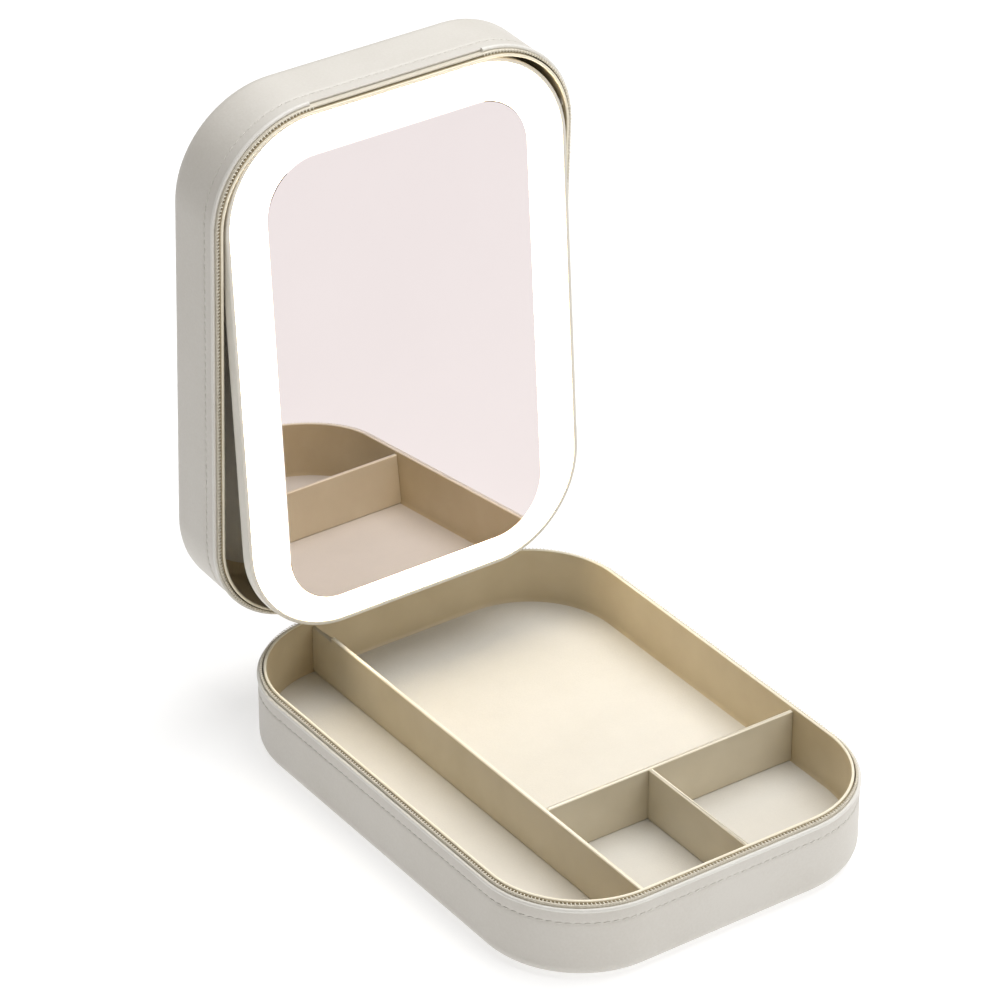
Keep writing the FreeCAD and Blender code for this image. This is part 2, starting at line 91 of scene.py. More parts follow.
class Finish:
    """A material whose steady values sit on the shader and whose pattern comes from nodes."""

    def __init__(self, name, **steady):
        self.material = bpy.data.materials.new(name)
        self.material.use_nodes = True
        self.tree = self.material.node_tree
        self.shader = self.tree.nodes["Principled BSDF"]
        for socket, value in steady.items():
            self.shader.inputs[socket.replace("_", " ")].default_value = value
        self.place = self.node("ShaderNodeTexCoord", {}, {}, "Object")

    def node(self, kind, settings, sockets, output=0):
        made = self.tree.nodes.new(kind)
        for key, value in settings.items():
            if key == "stops":
                ramp = made.color_ramp
                for spare in range(len(value) - 2):
                    ramp.elements.new(0.5)
                for element, (place, colour) in zip(ramp.elements, value):
                    element.position = place
                    element.color = (*colour, 1.0)
            else:
                setattr(made, key, value)
        for key, value in sockets.items():
            if isinstance(value, Level):
                self.tree.links.new(value.socket, made.inputs[key])
            else:
                made.inputs[key].default_value = value
        return Level(self, made.outputs[output])

    def noise(self, scale, detail=3.0, rough=0.55):
        return self.node("ShaderNodeTexNoise", {}, {
            "Vector": self.place, "Scale": scale, "Detail": detail, "Roughness": rough})

    def cells(self, scale, feature="F1"):
        return self.node("ShaderNodeTexVoronoi", {"feature": feature}, {
            "Vector": self.place, "Scale": scale})

    def axis(self, name):
        return self.node("ShaderNodeSeparateXYZ", {}, {"Vector": self.place}, name)

    def ramp(self, level, *stops):
        return self.node("ShaderNodeValToRGB", {"stops": stops}, {"Fac": level})

    def feed(self, **levels):
        for socket, level in levels.items():
            self.tree.links.new(level.socket, self.shader.inputs[socket.replace("_", " ")])
        return self

    def bump(self, height, distance, strength=1.0):
        normal = self.node("ShaderNodeBump", {}, {
            "Strength": strength, "Distance": distance, "Height": height})
        return self.feed(Normal=normal)

    def on(self, piece):
        """Fill a carried-over part's slots, or add one slot to a new piece."""
        slots = piece.data.materials
        if piece.name in frame["nodes"]:
            for index in range(len(slots)):
                slots[index] = self.material
        else:
            slots.append(self.material)
        return piece


TABLE_GLOW = 0.6
TABLE_HALF = 6.0
TABLE_DROP = 0.2 * MM
table_finish = Finish("white_table", Roughness=0.9)
table_finish.feed(Base_Color=table_finish.ramp(
    table_finish.noise(2.0), (0.3, (0.54, 0.54, 0.54)), (0.7, (0.56, 0.56, 0.56))))
table_finish.shader.inputs["Emission Color"].default_value = (1, 1, 1, 1)
table_finish.shader.inputs["Emission Strength"].default_value = TABLE_GLOW
table_form = bmesh.new()
bmesh.ops.create_grid(table_form, x_segments=1, y_segments=1, size=TABLE_HALF)
bmesh.ops.translate(table_form, vec=(0, 0, -TABLE_DROP), verts=table_form.verts)
table_mesh = bpy.data.meshes.new("table_top")
table_form.to_mesh(table_mesh)
table = bpy.data.objects.new("table_top", table_mesh)
scene.collection.objects.link(table)
table_finish.on(table)

world = bpy.data.worlds.new("studio")
scene.world = world
world.use_nodes = True
WORLD_COLOUR = (1.0, 0.955, 0.90, 1.0)
WORLD_STRENGTH = 0.16
backdrop = world.node_tree.nodes["Background"]
backdrop.inputs["Color"].default_value = WORLD_COLOUR
backdrop.inputs["Strength"].default_value = WORLD_STRENGTH


def lamp(name, place, aim, size, power, colour):
    """Square soft lamp turned towards a point."""
    light = bpy.data.lights.new(name, "AREA")
    light.shape = "SQUARE"
    light.size = size
    light.energy = power
    light.color = colour
    holder = bpy.data.objects.new(name, light)
    holder.location = place
    holder.rotation_euler = (Vector(aim) - Vector(place)).to_track_quat("-Z", "Y").to_euler()
    scene.collection.objects.link(holder)


lamp("overhead", (0.40, 0.12, 1.6), (0, 0, 0.05), 1.6, 30.0, (1.0, 1.0, 1.0))
lamp("front", (0.6, -1.5, 0.9), (0, 0, 0.08), 1.2, 8.5, (1.0, 0.985, 0.96))
lamp("left", (-1.3, -0.35, 0.25), (0, 0, 0.1), 0.8, 1.0, (1.0, 0.92, 0.82))

AZIMUTH = math.radians(-34.967)
ELEVATION = math.radians(31.443)
TARGET = Vector((-96.872, -106.838, 201.591)) * MM
DISTANCE = 1461.439 * MM
away = Vector((math.sin(AZIMUTH) * math.cos(ELEVATION),
               -math.cos(AZIMUTH) * math.cos(ELEVATION), math.sin(ELEVATION)))
lens = bpy.data.cameras.new("camera")
lens.sensor_width = 36.0
lens.lens = 180.0
lens.clip_start = 0.05
lens.clip_end = 30.0
camera = bpy.data.objects.new("camera", lens)
camera.location = TARGET + away * DISTANCE
camera.rotation_mode = "QUATERNION"
camera.rotation_quaternion = (-away).to_track_quat("-Z", "Y")
scene.collection.objects.link(camera)
scene.camera = camera

# ------------------------------------------------------------ base leather
# White leatherette stretched over the base, rounded underneath, with a shallow
# sewn channel just below its top edge and thread stitches lying in it.
CASE_WIDTH = 142.6 * MM
CASE_DEPTH = 198.2 * MM
CASE_CORNER = 37.3 * MM
BASE_HEIGHT = 26.7 * MM
LEATHER = 0.8 * MM
EDGE_ROUND = 5.5 * MM
CHANNEL_DROP = 4.6 * MM
CHANNEL_DEEP = 0.28 * MM
CHANNEL_SHALLOW = 0.12 * MM
RIM_SOFT = 0.3 * MM
EDGE_LOOP = 1.5 * MM
UNMOVED = Matrix.Identity(4)


def plate(width, depth, corner, z=0.0, y=0.0, steps=16):
    """Flat rounded rectangle, the start of each shell, band and slab."""
    form = bmesh.new()
    bmesh.ops.create_grid(form, x_segments=1, y_segments=1, size=0.5)
    bmesh.ops.scale(form, vec=(width, depth, 1), verts=form.verts)
    bmesh.ops.bevel(form, geom=form.verts[:], offset=corner, offset_type="OFFSET",
                    segments=steps, profile=0.5, affect="VERTICES", material=-1)
    bmesh.ops.translate(form, vec=(0, y, z), verts=form.verts)
    form.faces.ensure_lookup_table()
    return form


def face_at(form, z):
    """The largest face lying level at one height."""
    flat = [f for f in form.faces if all(abs(v.co.z - z) < 1e-6 for v in f.verts)]
    return max(flat, key=lambda f: f.calc_area())


def push(form, face, height):
    """Extrude one face straight up or down, leaving no lid behind inside a form."""
    enclosed = all(len(e.link_faces) == 2 for e in face.edges)
    grown = bmesh.ops.extrude_face_region(form, geom=[face])["geom"]
    moved = [item for item in grown if isinstance(item, bmesh.types.BMVert)]
    bmesh.ops.translate(form, vec=(0, 0, height), verts=moved)
    if enclosed:
        bmesh.ops.delete(form, geom=[face], context="FACES_ONLY")


def level_edges(form, z):
    """Edges lying level at one height that turn a corner between two faces."""
    return [e for e in form.edges
            if all(abs(v.co.z - z) < 1e-6 for v in e.verts)
            and len(e.link_faces) == 2 and e.calc_face_angle(0.0) > 0.5]


def soften(form, z, radius, segments):
    """Round the corner edges at one height."""
    bmesh.ops.bevel(form, geom=level_edges(form, z), offset=radius, offset_type="OFFSET",
                    segments=segments, profile=0.5, affect="EDGES", material=-1,
                    clamp_overlap=False)


def painted_highlight_slot(form, z):
    """Give the faces above one height the second material slot, which carries a painted highlight along the
    rim.
    """
    for face in form.faces:
        if all(v.co.z > z - 1e-6 for v in face.verts):
            face.material_index = 1


def cup(size, low, high, wall, floor, outside, inside, rim, steps=16):
    """Rounded tray standing open side up, all edges softened."""
    form = plate(*size, z=low, steps=steps)
    push(form, form.faces[0], high - low)
    top = face_at(form, high)
    bmesh.ops.inset_region(form, faces=[top], thickness=wall, use_even_offset=True)
    top = max((f for f in form.faces if all(abs(v.co.z - high) < 1e-6 for v in f.verts)),
              key=lambda f: f.calc_area())
    push(form, top, -(high - low - floor))
    soften(form, high, rim, 3)
    painted_highlight_slot(form, high - rim)
    soften(form, low + floor, inside, 5)
    soften(form, low, outside, 7)
    for level in (low, low + floor):
        bmesh.ops.inset_region(form, faces=[face_at(form, level)], thickness=EDGE_LOOP,
                               use_even_offset=True)
    return form


def make(form, name, body, place=UNMOVED, sharp=35):
    """Turn a finished form into a named piece riding on its body."""
    bmesh.ops.remove_doubles(form, verts=form.verts, dist=1e-6)
    bmesh.ops.recalc_face_normals(form, faces=form.faces)
    bmesh.ops.transform(form, matrix=place, verts=form.verts)
    mesh = bpy.data.meshes.new(name)
    form.to_mesh(mesh)
    form.free()
    mesh.shade_smooth()
    mesh.set_sharp_from_angle(angle=math.radians(sharp))
    piece = bpy.data.objects.new(name, mesh)
    scene.collection.objects.link(piece)
    if body:
        even = piece.modifiers.new("even_shading", "WEIGHTED_NORMAL")
        even.keep_sharp = True
        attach(piece, body)
    return piece


def inset(amount):
    """The shell's outline moved inwards."""
    return (CASE_WIDTH - 2 * amount, CASE_DEPTH - 2 * amount, CASE_CORNER - amount)


def leather_finish(name, light, dark):
    """Fine pebbled grain with faint handling marks."""
    finish = Finish(name, Roughness=0.5)
    pebble = finish.cells(1250.0, "SMOOTH_F1")
    crease = finish.noise(420.0, 4.0)
    cloud = finish.noise(34.0, 3.0)
    finish.feed(Base_Color=finish.ramp(cloud * 0.7 + pebble * 0.3, (0.3, dark), (0.62, light)),
                Roughness=cloud * 0.16 + 0.38)
    return finish.bump(pebble * 0.6 + crease * 0.8 + cloud * 1.5, 0.00011, 0.5)


ivory_leather = leather_finish("ivory_leather", (0.675, 0.65, 0.603), (0.637, 0.609, 0.558))


def leather_cup(height):
    """Leather shell with a pressed channel for its row of stitches."""
    form = cup(inset(0.0), 0.0, height, LEATHER, LEATHER, EDGE_ROUND,
               EDGE_ROUND - LEATHER, RIM_SOFT, 24)
    line = height - CHANNEL_DROP
    for step in (-1.1, -0.6, 0.0, 0.6, 1.1):
        bmesh.ops.bisect_plane(form, geom=form.verts[:] + form.edges[:] + form.faces[:],
                               plane_co=(0, 0, line + step * MM), plane_no=(0, 0, 1))
    form.normal_update()
    for vert in form.verts:
        reach = abs(vert.co.z - line) / MM
        outward = vert.normal.x * vert.co.x + vert.normal.y * vert.co.y > 0
        if outward and reach < 1.0:
            vert.co -= vert.normal * (CHANNEL_DEEP if reach < 0.3 else CHANNEL_SHALLOW)
    return form


# The rim has its own slot for a painted highlight; the leather fills both, so it carries none.
base_leather = make(leather_cup(BASE_HEIGHT), "base_leather", "base")
ivory_leather.on(ivory_leather.on(base_leather))
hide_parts("base_leather_cover")


def along_outline(size, spacing, half_gap=0.0):
    """Evenly spaced places round a rounded rectangle, starting behind the spine.

    Each is a point and the direction of travel; half_gap leaves out the
    stretch either side of the middle of the back edge.
    """
    width, depth, corner = size
    run_x = width - 2 * corner
    run_y = depth - 2 * corner
    arc = corner * math.pi / 2
    legs = (run_x / 2, arc, run_y, arc, run_x, arc, run_y, arc, run_x / 2)
    total = sum(legs)
    count = int((total - 2 * half_gap) / spacing)
    step = (total - 2 * half_gap) / count
    places = []
    for index in range(count):
        travel = half_gap + (index + 0.5) * step
        x, y, heading = 0.0, depth / 2, 0.0
        for number, leg in enumerate(legs):
            part = min(travel, leg)
            if number % 2 == 0:
                x += part * math.cos(heading)
                y += part * math.sin(heading)
            else:
                turn = part / corner
                centre_x = x + corner * math.sin(heading)
                centre_y = y - corner * math.cos(heading)
                heading -= turn
                x = centre_x - corner * math.sin(heading)
                y = centre_y + corner * math.cos(heading)
            travel -= part
            if travel <= 0:
                break
        places.append((Vector((x, y, 0)), heading))
    return places


def repeat(shape, turns):
    """Copies of one small form, each set down by its own matrix."""
    pattern = bpy.data.meshes.new("pattern")
    shape.to_mesh(pattern)
    shape.free()
    form = bmesh.new()
    for turn in turns:
        pattern.transform(turn)
        form.from_mesh(pattern)
        pattern.transform(turn.inverted())
    bpy.data.meshes.remove(pattern)
    return form


STITCH_PITCH = 3.1 * MM
STITCH_INSET = 0.22 * MM


def stitches(size, z):
    """A row of short rounded thread stitches lying along a line."""
    stitch = bmesh.new()
    bmesh.ops.create_uvsphere(stitch, u_segments=8, v_segments=5, radius=1.0,
                              matrix=Matrix.Diagonal((1.18 * MM, 0.26 * MM, 0.24 * MM, 1)))
    return repeat(stitch, [
        Matrix.Translation(point + Vector((0, 0, z))) @ Matrix.Rotation(heading, 4, "Z")
        @ Matrix.Rotation(math.radians(7), 4, "Y")
        for point, heading in along_outline(size, STITCH_PITCH)])


thread_finish = Finish("ivory_thread", Roughness=0.6)
thread_ply = (thread_finish.axis("X") + thread_finish.axis("Y")
              + thread_finish.axis("Z") * 2.0) * 9000.0
thread_finish.feed(Base_Color=thread_finish.ramp(
    thread_ply.wave() * 0.5 + 0.5, (0.0, (0.68, 0.66, 0.61)), (1.0, (0.77, 0.75, 0.70))))
thread_finish.bump(thread_ply.wave(), 0.00005, 0.5)

base_stitching = make(stitches(inset(STITCH_INSET), BASE_HEIGHT - CHANNEL_DROP),
                      "base_stitching", "base")
thread_finish.on(base_stitching)

# ------------------------------------------------------------ base rolled edge
# The leather is folded over a thin cord along the rim, so it ends in a small
# smooth roll slightly paler than the wall.
ROLL_WIDTH = 1.3 * MM
ROLL_HEIGHT = 1.5 * MM
ROLL_ROUND = 0.6 * MM
ROLL_SINK = 0.45 * MM
ROLL_PROUD = 0.35 * MM


def band(size, wall, low, high, rounding, segments=3, gap=None, steps=24):
    """Closed band with an even wall, cut away behind where a gap is given."""
    form = plate(*size, z=low, steps=steps)
    bmesh.ops.inset_region(form, faces=form.faces[:], thickness=wall, use_even_offset=True,
                           use_boundary=True)
    middle = face_at(form, low)
    bmesh.ops.delete(form, geom=[middle], context="FACES")
    ring = form.faces[:]
    grown = bmesh.ops.extrude_face_region(form, geom=ring)["geom"]
    bmesh.ops.translate(form, vec=(0, 0, high - low),
                        verts=[v for v in grown if isinstance(v, bmesh.types.BMVert)])
    bmesh.ops.recalc_face_normals(form, faces=form.faces)
    if rounding:
        edges = level_edges(form, low) + level_edges(form, high)
        bmesh.ops.bevel(form, geom=edges, offset=rounding, offset_type="OFFSET",
                        segments=segments, profile=0.5, affect="EDGES", material=-1,
                        clamp_overlap=False)
    if gap:
        behind = [f for f in form.faces
                  if abs(f.calc_center_median().x) < gap and f.calc_center_median().y > 0]
        bmesh.ops.delete(form, geom=behind, context="FACES")
        bmesh.ops.holes_fill(form, edges=[e for e in form.edges if e.is_boundary], sides=0)
    return form


pale_leather = leather_finish("pale_edge_leather", (0.79, 0.775, 0.735), (0.74, 0.72, 0.675))
base_roll = make(
    band(inset(-ROLL_PROUD), ROLL_WIDTH, BASE_HEIGHT - ROLL_SINK,
         BASE_HEIGHT - ROLL_SINK + ROLL_HEIGHT, ROLL_ROUND, 4),
    "base_rolled_edge", "base")
pale_leather.on(base_roll)
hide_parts("base_edge_welt")

# ------------------------------------------------------------ base zip
# Woven tape stands inside the rolled edge and carries a nylon coil of small
# loops; both stop either side of the spine.
zip_tape = Finish("zip_tape", Roughness=0.85)
weft = (zip_tape.axis("Z") * 11000.0).wave()
warp = ((zip_tape.axis("X") + zip_tape.axis("Y")) * 9000.0).wave()
zip_tape.feed(Base_Color=zip_tape.ramp(
    weft * 0.25 + warp * 0.25 + 0.5, (0.1, (0.70, 0.65, 0.54)), (0.9, (0.83, 0.78, 0.67))))
zip_tape.bump(weft * warp, 0.00012, 0.7)
zip_tape.on(frame["nodes"]["base_zip_tape"])

coil_nylon = Finish("coil_nylon", Roughness=0.32)
coil_nylon.feed(Base_Color=coil_nylon.ramp(
    coil_nylon.noise(700.0), (0.3, (0.86, 0.81, 0.69)), (0.7, (0.93, 0.89, 0.78))))
coil_nylon.bump(coil_nylon.noise(4000.0), 0.00003, 0.4)
COIL_PITCH = 1.3 * MM
COIL_RISE = 2.25 * MM
COIL_GAP = 33.0 * MM
COIL_INSET = 1.13 * MM
COIL_LEAN = math.radians(14)


def coil_loops(z, gap):
    """Small arched loops clasping the top edge of the tape."""
    loop = bmesh.new()
    bmesh.ops.create_circle(loop, segments=6, radius=0.17 * MM,
                            matrix=Matrix.Translation((0.4 * MM, 0, 0)))
    bmesh.ops.spin(loop, geom=loop.verts[:] + loop.edges[:], cent=(0, 0, 0), axis=(0, 1, 0),
                   angle=-math.pi, steps=4)
    bmesh.ops.holes_fill(loop, edges=[e for e in loop.edges if e.is_boundary], sides=0)
    bmesh.ops.recalc_face_normals(loop, faces=loop.faces)
    return repeat(loop, [
        Matrix.Translation(point + Vector((0, 0, z)))
        @ Matrix.Rotation(heading + math.pi / 2 + COIL_LEAN, 4, "Z")
        for point, heading in along_outline(inset(COIL_INSET), COIL_PITCH, gap)])


base_coil = make(coil_loops(BASE_HEIGHT + COIL_RISE, COIL_GAP), "base_zip_teeth", "base")
coil_nylon.on(base_coil)
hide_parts("base_zip_coil")

# ------------------------------------------------------------ tray moulding
# Thin champagne moulding pressed into the base: a rounded lip, upright walls
# and a coved floor corner.
LINER_TOP = 29.7 * MM
TRAY_LOW = 6.5 * MM
TRAY_INSET = 2.0 * MM
TRAY_WALL = 1.0 * MM
LIP_ROUND = 0.42 * MM


def champagne_finish(name, light, dark, gloss):
    """Satin moulded plastic with a very fine orange-peel skin."""
    finish = Finish(name, Roughness=gloss)
    cloud = finish.noise(45.0, 3.0)
    skin = finish.noise(2600.0, 2.0)
    finish.feed(Base_Color=finish.ramp(cloud, (0.35, dark), (0.65, light)),
                Roughness=skin * 0.12 + (gloss - 0.06))
    return finish.bump(skin + cloud * 2.0, 0.00004, 0.35)


# The tray and lid mouldings take a darker copy of the champagne skin than the boards: painted shade for
# their shaded walls.
champagne = champagne_finish("champagne_painted_shade", (0.62, 0.525, 0.355), (0.575, 0.48, 0.315), 0.42)
# A lighter copy of the champagne for rims and board tops: a painted highlight.
champagne_painted_highlight = champagne_finish("champagne_painted_highlight", (0.93, 0.87, 0.72), (0.88, 0.81, 0.65), 0.38)
tray = make(cup(inset(TRAY_INSET), TRAY_LOW, LINER_TOP, TRAY_WALL, TRAY_WALL,
                2.0 * MM, 2.5 * MM, LIP_ROUND, 24), "tray_moulding", "base")
# The tray's lip takes the champagne painted highlight.
champagne_painted_highlight.on(champagne.on(tray))
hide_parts("base_tray")

# ------------------------------------------------------------ tray floor lining
# Short-nap suede cloth glued over the whole floor of the tray, its edge turned
# under so that it ends in a soft rounded border.
PAD_LOW = 7.55 * MM
PAD_TOP = 8.5 * MM
PAD_INSET = 3.4 * MM
PAD_ROUND = 0.4 * MM


def suede_finish(name, light, dark):
    """Soft nap, brushed a little lighter and darker in patches."""
    finish = Finish(name, Roughness=0.95, Sheen_Weight=0.25, Sheen_Roughness=0.6)
    nap = finish.noise(1500.0, 5.0, 0.7)
    brushed = finish.noise(28.0, 4.0, 0.6)
    finish.feed(Base_Color=finish.ramp(nap * 0.35 + brushed * 0.65, (0.35, dark), (0.65, light)))
    return finish.bump(nap, 0.00018, 0.6)


def slab(size, low, high, rounding, y=0.0, segments=3, steps=8):
    """Solid plate with all its level edges softened."""
    form = plate(*size, z=low, y=y, steps=steps)
    push(form, form.faces[0], high - low)
    bmesh.ops.recalc_face_normals(form, faces=form.faces)
    edges = level_edges(form, low) + level_edges(form, high)
    bmesh.ops.bevel(form, geom=edges, offset=rounding, offset_type="OFFSET", segments=segments,
                    profile=0.5, affect="EDGES", material=-1, clamp_overlap=False)
    return form


suede = suede_finish("floor_suede", (0.72, 0.695, 0.635), (0.665, 0.64, 0.58))
floor_lining = make(slab(inset(PAD_INSET), PAD_LOW, PAD_TOP, PAD_ROUND, steps=24),
                    "tray_floor_lining", "base")
suede.on(floor_lining)
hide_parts("tray_floor_pad")

# ------------------------------------------------------------ tray dividers
# Stiff boards wrapped in the tray's champagne skin: one long board makes the
# pen bay, a cross board and a short board make the two small front bays. The
# long board steps down at its rear, where the mirror sweeps past.
RELIEF_LENGTH = 12.0 * MM
RELIEF_DEPTH = 1.8 * MM
BOARD_CORNER = 0.25 * MM
BOARD_ROUND = 0.5 * MM
# The boards take a lighter copy of the same champagne skin: painted light on their lit faces.
divider_skin_painted_light = champagne_finish("divider_skin_painted_light", (0.65, 0.59, 0.46), (0.605, 0.545, 0.415), 0.45)
for name, node in (("long_divider", "pen_divider"), ("cross_board", "cross_divider"),
                   ("short_board", "short_divider")):
    low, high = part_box(node)
    span = high - low
    form = plate(span.x, span.y, BOARD_CORNER, z=low.z, steps=3)
    bmesh.ops.translate(form, vec=((low.x + high.x) / 2, (low.y + high.y) / 2, 0),
                        verts=form.verts)
    shelf = high.z - (RELIEF_DEPTH if name == "long_divider" else 0)
    push(form, form.faces[0], shelf - low.z)
    if shelf < high.z:
        step = high.y - RELIEF_LENGTH
        bmesh.ops.bisect_plane(form, geom=form.verts[:] + form.edges[:] + form.faces[:],
                               plane_co=(0, step, 0), plane_no=(0, 1, 0))
        push(form, face_at(form, shelf), high.z - shelf)
    bmesh.ops.recalc_face_normals(form, faces=form.faces)
    for level in {low.z, shelf, high.z}:
        soften(form, level, BOARD_ROUND, 4)
    # Each board's top faces take the second slot, the champagne painted highlight.
    painted_highlight_slot(form, high.z - BOARD_ROUND)
    board = make(form, name, "base")
    champagne_painted_highlight.on(divider_skin_painted_light.on(board))
    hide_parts(node)

# ------------------------------------------------------------ lid leather
# The lid is a second leather shell like the base, with the same channel and
# stitches; at rest it stands open on the spine.
joints = {joint["name"]: joint for joint in frame["joints"]}
LID_OPEN = math.radians(-joints["lid_hinge"]["range_deg"][0])
FOLD = Vector(joints["lid_hinge"]["pos_m"])
LID_HEIGHT = 26.0 * MM
LID_EDGE = 0.4 * MM
LID_TOP = LID_EDGE + LID_HEIGHT
LID_RIM = LID_EDGE - 3.0 * MM
lid_place = (Matrix.Translation(FOLD) @ Matrix.Rotation(-LID_OPEN, 4, "X")
             @ Matrix.Translation((0, -FOLD.y, 0)))
TURNED = Matrix.Rotation(math.pi, 4, "X")


def lid_from(z):
    """Place for a form built open side up: turned over, its front and back swapped."""
    return lid_place @ Matrix.Translation((0, 0, z)) @ TURNED


lid_leather = make(leather_cup(LID_HEIGHT), "lid_leather", "lid",
                   lid_from(LID_TOP))
ivory_leather.on(ivory_leather.on(lid_leather))
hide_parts("lid_leather_cover")
lid_stitching = make(stitches(inset(STITCH_INSET), LID_HEIGHT - CHANNEL_DROP),
                     "lid_stitching", "lid", lid_from(LID_TOP))
thread_finish.on(lid_stitching)

# ------------------------------------------------------------ lid edge and zip
# Rolled edge, tape and coil match the base so the two halves close together.
# The real roll and coil stop either side of the spine. These two stop at the
# lid's front instead, because lid_from swaps front and back: an open fault.
LID_ROLL_GAP = 25.0 * MM
lid_roll = make(
    band(inset(-ROLL_PROUD), ROLL_WIDTH, LID_HEIGHT - ROLL_SINK,
         LID_HEIGHT - ROLL_SINK + ROLL_HEIGHT, ROLL_ROUND, 4, gap=LID_ROLL_GAP),
    "lid_rolled_edge", "lid", lid_from(LID_TOP))
pale_leather.on(lid_roll)
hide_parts("lid_edge_welt")
zip_tape.on(frame["nodes"]["lid_zip_tape"])
lid_coil = make(coil_loops(LID_HEIGHT + COIL_RISE, COIL_GAP), "lid_zip_teeth", "lid",
                lid_from(LID_TOP))
coil_nylon.on(lid_coil)
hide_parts("lid_zip_coil")

# ------------------------------------------------------------ lid moulding
# Champagne moulding inside the lid, with a suede panel on its back and a
# small bush in each side wall for the mirror's pins.
LINER_ROOF = 24.3 * MM
PANEL_INSET = 7.5 * MM
PANEL_LOW = LINER_ROOF - 2.0 * MM
PANEL_TOP = LINER_ROOF - 1.05 * MM
lid_moulding = make(cup(inset(TRAY_INSET), 0.0, LINER_ROOF - LID_RIM, TRAY_WALL, TRAY_WALL,
                        3.4 * MM, 2.4 * MM, LIP_ROUND, 24),
                    "lid_moulding", "lid", lid_from(LINER_ROOF))
# The lid moulding's lip takes the champagne painted highlight.
champagne_painted_highlight.on(champagne.on(lid_moulding))
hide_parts("lid_liner")
lid_panel = make(slab(inset(PANEL_INSET), PANEL_LOW, PANEL_TOP, PAD_ROUND, steps=24),
                 "lid_back_lining", "lid", lid_place)
suede.on(lid_panel)
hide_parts("lid_back_pad")

# ------------------------------------------------------------ mirror frame
# Slim moulded housing, softly rounded all round, that holds the ring, glass and
# electronics and tilts on two side pins.
PIVOT = Vector(joints["mirror_tilt"]["pos_m"])
TILT = math.radians(-joints["mirror_tilt"]["range_deg"][0])
mirror_place = Matrix.Translation(PIVOT) @ Matrix.Rotation(-(LID_OPEN + TILT), 4, "X")
MIRROR_WIDTH = 135.2 * MM
MIRROR_DEPTH = 189.4 * MM
MIRROR_CORNER = 35.8 * MM
PIVOT_RISE = 25.0 * MM
MIRROR_MID = MIRROR_DEPTH / 2 - PIVOT_RISE
MIRROR_FRONT = -3.0 * MM
MIRROR_BACK = 3.0 * MM
HOUSING_WALL = 1.6 * MM
housing_form = cup((MIRROR_WIDTH, MIRROR_DEPTH, MIRROR_CORNER), 0.0, MIRROR_BACK - MIRROR_FRONT,
                   HOUSING_WALL, 1.0 * MM, 2.4 * MM, 0.3 * MM, 0.5 * MM, 24)
housing_plastic = champagne_finish("housing_plastic", (0.76, 0.73, 0.66), (0.70, 0.67, 0.60), 0.36)
mirror_frame = make(housing_form, "mirror_frame", "mirror",
                    mirror_place @ Matrix.Translation((0, MIRROR_MID, MIRROR_BACK)) @ TURNED)
housing_plastic.on(housing_plastic.on(mirror_frame))
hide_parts("mirror_housing")

# ------------------------------------------------------------ light ring
# Milky plastic ring round the glass, lit from behind by the lamp strip. Its
# front border is softened and it glows evenly, a little warm.
RING_MARGIN = 1.65 * MM
RING_GAP = 0.05 * MM
RING_THICK = 1.2 * MM
RING_SOFT = 0.25 * MM
RING_GLOW = 7.0
GLASS_SIZE = (103.8 * MM, 164.4 * MM, 19.8 * MM)
GLASS_SHIFT = 2.5 * MM
ring_form = plate(MIRROR_WIDTH - 2 * RING_MARGIN, MIRROR_DEPTH - 2 * RING_MARGIN,
                  MIRROR_CORNER - RING_MARGIN, z=0.0, steps=24)
inner_form = plate(GLASS_SIZE[0] + 2 * RING_GAP, GLASS_SIZE[1] + 2 * RING_GAP,
                   GLASS_SIZE[2] + RING_GAP, z=0.0, y=GLASS_SHIFT, steps=24)
inner_mesh = bpy.data.meshes.new("ring_opening")
inner_form.to_mesh(inner_mesh)
inner_form.free()
ring_form.from_mesh(inner_mesh)
bpy.data.meshes.remove(inner_mesh)
bmesh.ops.delete(ring_form, geom=ring_form.faces[:], context="FACES_ONLY")
bmesh.ops.bridge_loops(ring_form, edges=ring_form.edges[:])
grown = bmesh.ops.extrude_face_region(ring_form, geom=ring_form.faces[:])["geom"]
bmesh.ops.translate(ring_form, vec=(0, 0, RING_THICK),
                    verts=[v for v in grown if isinstance(v, bmesh.types.BMVert)])
bmesh.ops.recalc_face_normals(ring_form, faces=ring_form.faces)
bmesh.ops.bevel(ring_form, geom=level_edges(ring_form, 0.0), offset=RING_SOFT,
                offset_type="OFFSET", segments=3, profile=0.5, affect="EDGES", material=-1,
                clamp_overlap=False)
light_ring_finish = Finish("lit_diffuser", Roughness=0.35)
glow = light_ring_finish.noise(14.0, 2.0)
light_ring_finish.feed(
    Base_Color=light_ring_finish.ramp(glow, (0.3, (0.90, 0.88, 0.84)), (0.7, (0.93, 0.92, 0.89))),
    Emission_Color=light_ring_finish.ramp(glow, (0.3, (1.0, 0.84, 0.58)), (0.7, (1.0, 0.86, 0.61))))
light_ring_finish.shader.inputs["Emission Strength"].default_value = RING_GLOW
light_ring_finish.bump(light_ring_finish.noise(900.0), 0.00003, 0.2)
light_ring = make(ring_form, "light_ring", "mirror",
                  mirror_place @ Matrix.Translation((0, MIRROR_MID, MIRROR_FRONT)))
light_ring_finish.on(light_ring)
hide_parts("light_diffuser")

